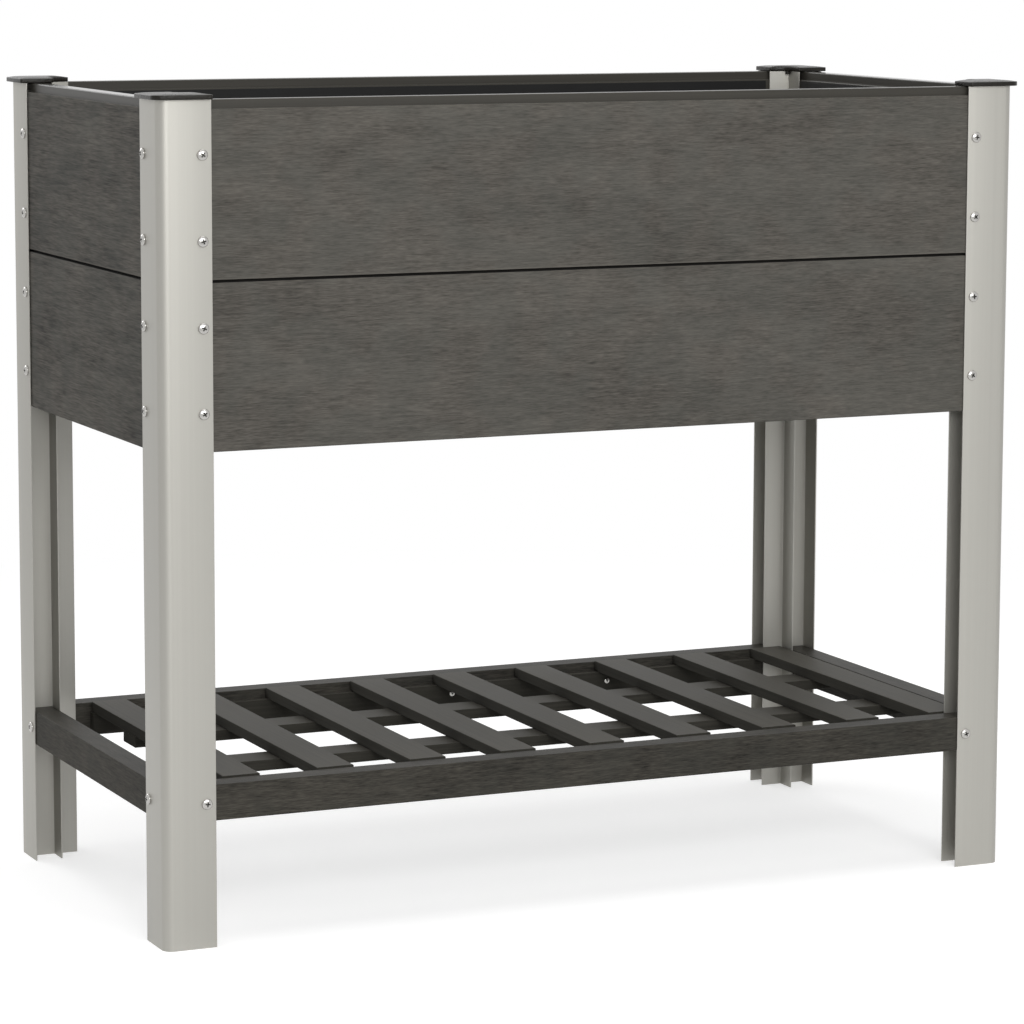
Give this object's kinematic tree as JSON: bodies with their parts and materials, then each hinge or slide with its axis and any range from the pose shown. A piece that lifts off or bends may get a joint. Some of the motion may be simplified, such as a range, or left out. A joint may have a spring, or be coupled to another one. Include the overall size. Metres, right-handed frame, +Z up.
{
  "type": "raised planter on legs",
  "caption": "Rectangular raised planter: slotted aluminium corner legs with black caps hold dark tongued plank walls and a lined box above a low slatted shelf.",
  "frame": {"origin": "on the floor, at the centre of the four legs", "axes": "+X along the planter to the right as seen from the front, +Y from front to back, +Z up"},
  "size_m": [1.012, 0.512, 0.8865],
  "materials": {
    "satin_aluminium": "satin anodised, faint lines along the extrusion",
    "cap_plastic": "moulded, low sheen",
    "brushed_composite": "wood-plastic composite, brushed along the board",
    "smooth_composite": "wood-plastic composite, smooth extruded face",
    "liner_plastic": "smooth sheet",
    "screw_steel": "stainless, polished"
  },
  "bodies": {
    "root": {"leg_front_left": "satin_aluminium", "leg_front_right": "satin_aluminium", "leg_back_right": "satin_aluminium", "leg_back_left": "satin_aluminium", "cap_front_left": "cap_plastic", "cap_front_right": "cap_plastic", "cap_back_right": "cap_plastic", "cap_back_left": "cap_plastic", "plank_row_1_front": "brushed_composite", "plank_row_1_back": "brushed_composite", "plank_row_1_left": "brushed_composite", "plank_row_1_right": "brushed_composite", "plank_row_2_front": "brushed_composite", "plank_row_2_back": "brushed_composite", "plank_row_2_left": "brushed_composite", "plank_row_2_right": "brushed_composite", "shelf_rail_front": "brushed_composite", "shelf_rail_back": "brushed_composite", "shelf_rail_left": "brushed_composite", "shelf_rail_right": "brushed_composite", "shelf_slat_1": "smooth_composite", "shelf_slat_2": "smooth_composite", "shelf_slat_3": "smooth_composite", "shelf_slat_4": "smooth_composite", "shelf_slat_5": "smooth_composite", "shelf_slat_6": "smooth_composite", "shelf_slat_7": "smooth_composite", "shelf_slat_8": "smooth_composite", "shelf_slat_9": "smooth_composite", "shelf_batten_front": "smooth_composite", "shelf_batten_back": "smooth_composite", "shelf_ledge_front": "smooth_composite", "shelf_ledge_back": "smooth_composite", "floor_ledge_front": "smooth_composite", "floor_ledge_back": "smooth_composite", "floor_panel": "smooth_composite", "liner_front": "liner_plastic", "liner_back": "liner_plastic", "liner_left": "liner_plastic", "liner_right": "liner_plastic", "screw_front_left_1": "screw_steel", "screw_front_left_2": "screw_steel", "screw_front_left_3": "screw_steel", "screw_front_left_4": "screw_steel", "screw_front_left_5": "screw_steel", "screw_front_right_1": "screw_steel", "screw_front_right_2": "screw_steel", "screw_front_right_3": "screw_steel", "screw_front_right_4": "screw_steel", "screw_front_right_5": "screw_steel", "screw_back_right_1": "screw_steel", "screw_back_right_2": "screw_steel", "screw_back_right_3": "screw_steel", "screw_back_right_4": "screw_steel", "screw_back_right_5": "screw_steel", "screw_back_left_1": "screw_steel", "screw_back_left_2": "screw_steel", "screw_back_left_3": "screw_steel", "screw_back_left_4": "screw_steel", "screw_back_left_5": "screw_steel"}
  },
  "joints": []
}
